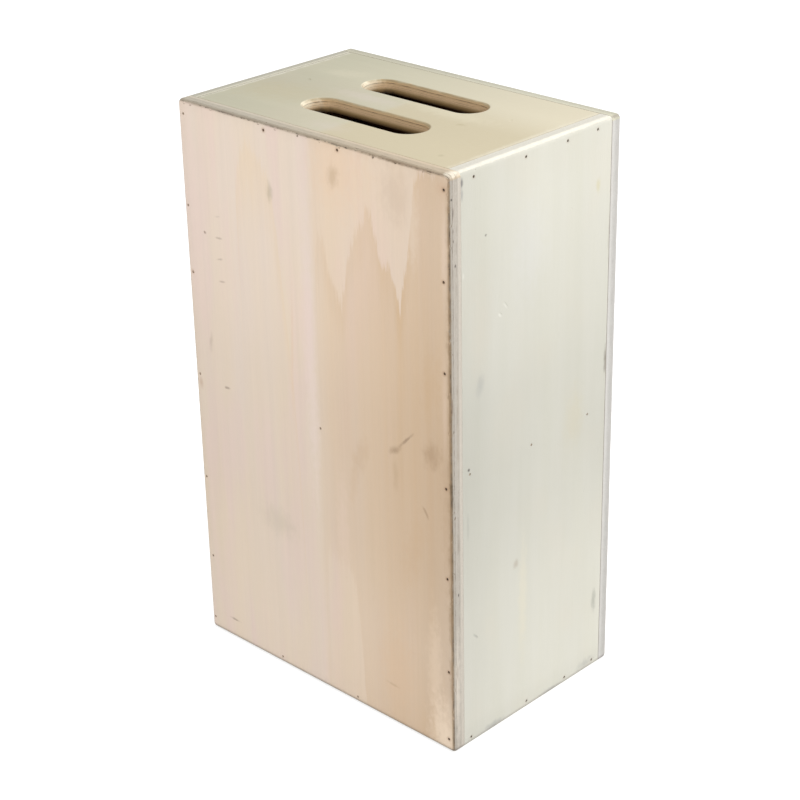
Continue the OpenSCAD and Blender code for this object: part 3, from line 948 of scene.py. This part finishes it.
dress_board("front_board", partial(broad_veneer, figure=FRONT_FIGURE, seed=2.3), FRONT_MARKS,
            edge_colour="bcb4a8", plies=WORN_EDGE, dirt_and_sheen="736450", wear_and_sheen=0.95, rim=0.07, stains_and_light=FRONT_STAINS_AND_GLINT,
            rounding=(0.97, 0.8), side_lean=1.15, end_tints=("f3f1e8", "fcf0dd", "ebebeb"),
            wear_down=[(0, 0.6), (4, 0.62), (12, 1.0), (FAR, 1.0)],
            # curves of wood tone and painted light: lower down the front is darker, painted shade where less
            # light falls
            tone_and_light_across=[(0, 0.99), (22, 0.995), (34, 1.02), (60, 1.03), (150, 1.015), (166, 1.055),
                         (202, 1.07), (230, 1.055), (250, 1.03), (262, 1.03), (285, 0.975), (305, 0.97),
                         (FAR, 0.97)],
            tone_and_light_down=[(0, 1.0), (60, 1.0), (110, 0.985), (160, 0.96), (220, 0.905), (280, 0.885),
                       (340, 0.87), (400, 0.885), (430, 0.89), (460, 0.9), (490, 0.905), (508, 0.915),
                       (FAR, 0.915)])

# %% [markdown]
# ## The narrow right side
# The cream veneer of this side is darker in the middle and along its front edge, which its curves of tone and
# painted light give. Its marks are grey smudges, and a grey band along its foot is grime and painted contact
# shadow. Two pale marks paint highlights on the lit sides of two dents, and a pale stripe paints the glint on
# its top edge.

# %% Right board
RIGHT_MARKS = [
    ((19.5, 248.5, 0), (1.5, 1.5, 3), 0, "3c352f", 0.9),
    ((13, 9, 0), (1.9, 4.6, 3), 0, "4d474d", 0.75),
    ((13.3, 18, 0), (1.5, 6, 3), 0, "7a7678", 0.45),
    ((40, 57, 0), (1.3, 1.3, 3), 0, "443f3a", 0.7),
    # these two pale marks paint highlights on the lit sides of the two dents here
    ((62.4, 121.6, 0), (4.2, 0.8, 3), 52, "d3d1c8", 0.35),
    ((56, 127.6, 0), (2.8, 1.3, 3), 40, "d6d4cb", 0.4),
    ((14.5, 82.7, 0), (1.2, 3.0, 3), 0, "d0cec4", 0.3),
    ((33, 180, 0), (5, 11, 3), 5, "8d8e8a", 0.5),
    ((34, 132, 0), (14, 62, 5), 4, "c0ae9e", 0.1),
    ((189.5, 210, 0), (2.2, 15, 3), 0, "5f5448", 0.6),
    ((190, 100, 0), (1.6, 20, 3), 0, "8c8478", 0.3),
    ((150, 250, 0), (14, 30, 4), 0, "b4ab90", 0.3),
    ((30, 190, 0), (12, 20, 4), 10, "aaa9a0", 0.3),
    ((86, 395, 0), (6, 60, 4), 0, "cbc2a8", 0.3),
    ((92, 84, 0), (24, 44, 5), 0, "c2c2c8", 0.14),
    ((175, 53, 0), (3, 7, 3), 0, "b4ab7f", 0.45),
    ((77, 358, 0), (3.5, 5, 3), 0, "8a7763", 0.4),
    ((27, 405, 0), (4.5, 1.2, 3), 45, "83857e", 0.5),
    ((182, 440, 0), (3.4, 13, 3), 0, "76786f", 0.45),
    ((18, 300, 0), (1.6, 14, 3), 0, "8c8b83", 0.35),
    ((50, 503, 0), (14, 3.5, 3), 0, "7d7f7f", 0.4),
    ((122, 505, 0), (18, 3, 3), 0, "7d7f7f", 0.4),
    ((172, 500, 0), (12, 5, 3), 0, "898b89", 0.35),
]
right_veneer = partial(pale_veneer, light="c2c0b5", dark="bfbdb0", seed=5.1, blush="c4bdad")
BURNISHED_EDGE = (1.0, 1.08, 0.98, 0.96, 0.95, 0.96, 0.96), (0.1, 0.15, 0.1, 0.1, 0.05, 0.0)
RIGHT_EDGE_GLINT = [((100, 0, 3.2), (140, 4, 1.8), 0, "f0ecdd", 0.5)]  # the edge at the top, painted pale as a glint
# Its rounded edges take a pale colour, d2cec0, that paints a highlight on them, and the curves of tone and
# light below make the side darker in its middle and along its front edge.
dress_board("right_board", right_veneer, RIGHT_MARKS, edge_colour="c6c2b6", plies=BURNISHED_EDGE,
            dirt_and_sheen="d2cec0", wear_and_sheen=0.6, rim=0.0, rounding=(0.97, 0.8), foot_grime_and_shadow=0.36, ring=0.12, side_lean=1.15,
            stains_and_light=RIGHT_EDGE_GLINT,
            tone_and_light_across=[(0, 0.85), (20, 0.855), (50, 0.905), (80, 0.925), (110, 0.95), (FAR, 0.95)],
            tone_and_light_down=[(0, 0.98), (40, 0.99), (100, 0.965), (150, 0.94), (200, 0.885), (260, 0.87),
                       (300, 0.89), (340, 0.935), (380, 0.985), (440, 1.02), (485, 1.05), (508, 1.0),
                       (FAR, 1.0)])

# %% [markdown]
# ## The top end
# The end board lies flush between the other four, so their bare plied edges frame it. Its hand slots show
# the plies all the way round, a warm brown where lacquer soaked into the end grain, with painted shade that
# darkens the walls deeper in and a painted highlight on the left end of each slot.

# %% Top end
TOP_MARKS = [
    ((46, 95, 0), (4, 2, 3), 30, "908a76", 0.3),
    ((228, 106, 0), (5, 3, 3), -20, "9b8f72", 0.3),
    ((268, 172, 0), (3, 3, 3), 0, "908668", 0.3),
    ((150, 176, 0), (24, 12, 3), 0, "bfb3a8", 0.3),
    ((52, 134, 0), (62, 30, 5), -8, "ac9f7d", 0.35),
    ((58, 62, 0), (24, 12, 5), -20, "c2bba4", 0.3),
    ((120, 101, 0), (40, 10, 5), 0, "c0b5ac", 0.35),
    ((205, 90, 0), (50, 12, 5), 0, "ccc5ac", 0.3),
    ((12.5, 101, 0), (3.4, 130, 4), 0, "cdcabb", 0.7),
    ((292, 101, 0), (4, 130, 4), 0, "d3cdba", 0.45),
]
TOP_SLOT_PAINTED_LIGHT = []
for slot_middle in (66.5, 136.5):  # mm down; both slots get a painted highlight at their left ends and painted shade deep inside
    TOP_SLOT_PAINTED_LIGHT += [
        ((92, slot_middle + 4, 2.5), (10, 15, 6.5), 0, "f0e5cc", 0.9),
        ((97, slot_middle - 1, 12), (13, 19, 4.6), 0, "1c0f04", 0.95),
        ((203, slot_middle - 10, 11.5), (18, 14, 2.6), 0, "2c1c0c", 0.5),
    ]


def top_veneer(add, spot, across, down):
    """Pale veneer in two sheets that meet in the middle, made lighter to the right as painted light from the
    right.
    """
    wood, fibre = pale_veneer(add, spot, across, down, "aca992", "a7a48d", seed=7.7, along="across",
                              blush="b4a793")
    # lighter to the right: painted light from the right
    wood = tint(add, wood, soft_step(add, across, -60, 330), "c5bca4")
    seam = add("Math.MULTIPLY", [soft_step(add, across, 152, 161), soft_step(add, down, 50, 110, 0.7)])
    return tint(add, wood, seam, "bbae8e"), fibre


ROUTED_EDGE = (1.0, 1.0, 1.0, 1.03, 0.98, 1.0, 0.95), (0.3, 0.9, 0.45, 0.3, 0.3, 0.1)
# Painted shade down a slot's walls: dimmer and browner with depth, to near black at the inner face.
SLOT_WALL_TONE_AND_SHADE = [(0, 0.95), (0.9, 0.92), (1.5, 0.74), (2.7, 0.76), (3.5, 1.0), (5.6, 1.06), (7.0, 0.95),
              (8.6, 0.78), (9.2, 0.56), (9.6, 0.22), (10.0, 0.09), (FAR, 0.06)]
dress_board("top_end", top_veneer, TOP_MARKS, edge_colour="d1b38c", plies=ROUTED_EDGE, dirt_and_sheen="93815f",
            wear_and_sheen=0.9, rim=0.0, stains_and_light=TOP_SLOT_PAINTED_LIGHT, rounding=(0.965, 0.85), tone_and_shade_in=SLOT_WALL_TONE_AND_SHADE,
            tone_and_light_down=[(0, 0.98), (30, 0.98), (50, 1.0), (100, 0.92), (130, 0.92), (160, 0.94), (203, 0.93),
                       (FAR, 0.93)])

# %% [markdown]
# ## The faces turned away
# The back, the left side and the bottom end have their own figure and their own knocks. The bottom end is
# darker than the sides, because the box stands on it.

# %% Back, left, bottom and divider
BACK_FIGURE = {
    "seam": 52,
    "flames": [(0, NEVER), (52, NEVER), (54, 180), (61, 120), (70, 190), (78, 150), (92, 60), (104, 132),
               (118, 230), (126, NEVER), (190, NEVER), (196, 300), (212, 210), (224, 260), (236, NEVER),
               (305, NEVER)],
    "faint": [(0, NEVER), (150, NEVER), (155, 220), (163, 90), (171, 30), (182, 110), (186, 260),
              (190, NEVER), (305, NEVER)],
    "sap_again": [(0, NEVER), (40, NEVER), (46, 420), (84, 380), (120, 440), (130, NEVER), (305, NEVER)],
    "across": [(0, 0.3), (60, 0.7), (120, 0.9), (200, 0.7), (305, 0.5)],
    "down": [(0, 0.8), (200, 1.0), (340, 0.9), (508, 0.8)],
}
dress_board("back_board", partial(broad_veneer, figure=BACK_FIGURE, seed=11.9), edge_colour="b8b6af",
            dirt_and_sheen="8a8178", wear_and_sheen=0.75, rounding=(0.97, 0.8), end_tints=("fffeeb", "f0eeda", "f7f7fa"))
PALE_INNER_EDGE = (0.95, 0.82, 0.9, 0.95, 1.02, 1.3, 1.35), (0.6, 0.3, 0.3, 0.35, 0.25, 0.2)
dress_board("left_board", partial(pale_veneer, light="c2bdb1", dark="b3ada0", seed=13.3),
            edge_colour="aaa695", plies=PALE_INNER_EDGE, dirt_and_sheen="8f8a7c", wear_and_sheen=0.6)
# the bottom end's slots get the same painted slot shade
dress_board("bottom_end", partial(pale_veneer, light="b3ab97", dark="a39a84", seed=15.7, along="across"),
            edge_colour="cbac88", plies=ROUTED_EDGE, dirt_and_sheen="8a7f6c", wear_and_sheen=0.5, tone_and_shade_in=SLOT_WALL_TONE_AND_SHADE)
dress_board("centre_divider", partial(pale_veneer, light="a88a68", dark="9c7c5a", seed=17.1),
            edge_colour="7a5a3c", roughness=0.75)

# %% [markdown]
# ## Nails
# The nails are plain round steel. Open heads have gone dull and dark, with a bloom of brown rust, so the
# metal's colour is a dark grey and its roughness high, and rust is no metal. In the puttied rows the sunk
# heads were filled before lacquering, and only a faint grey-brown dot shows.

# %% Dull steel and wood filler
def blotches(add, scale, detail):
    """Noise in the frame's own space, with about this many blotches to a millimetre."""
    place = add("VectorMath.SCALE", {0: add("TexCoord", out="Object"), 3: 1 / MM})
    return add("TexNoise", {"Vector": place, "Scale": scale, "Detail": detail})


steel, add = new_finish("dull_steel_wire_nail")
rust = add("MapRange", [blotches(add, 0.9, detail=3.0), 0.42, 0.6])
add("OutputMaterial", {"Surface": add("BsdfPrincipled", {
    "Base Color": tint(add, srgb("5a524a"), rust, "5c422e"),
    "Metallic": add("MapRange", [rust, 0.0, 1.0, 1.0, 0.1]),
    "Roughness": add("MapRange", [rust, 0.0, 1.0, 0.42, 0.8]),
})})

filler, add = new_finish("wood_filler_over_nail")
grit = blotches(add, 1.6, detail=4.0)
add("OutputMaterial", {"Surface": add("BsdfPrincipled", {
    "Base Color": shade(add, tint(add, srgb("ab9a89"), grit, "94826f"), grit, 0.12),
    "Roughness": add("MapRange", [grit, 0.3, 0.7, 0.6, 0.85]),
})})
for name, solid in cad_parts.items():
    if "nail" in name:
        for slot in solid.material_slots:
            slot.material = filler if name in PUTTIED else steel
nail_rows = sum("nail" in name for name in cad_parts)
print("Puttied rows:", len(PUTTIED), "and open rows:", nail_rows - len(PUTTIED))
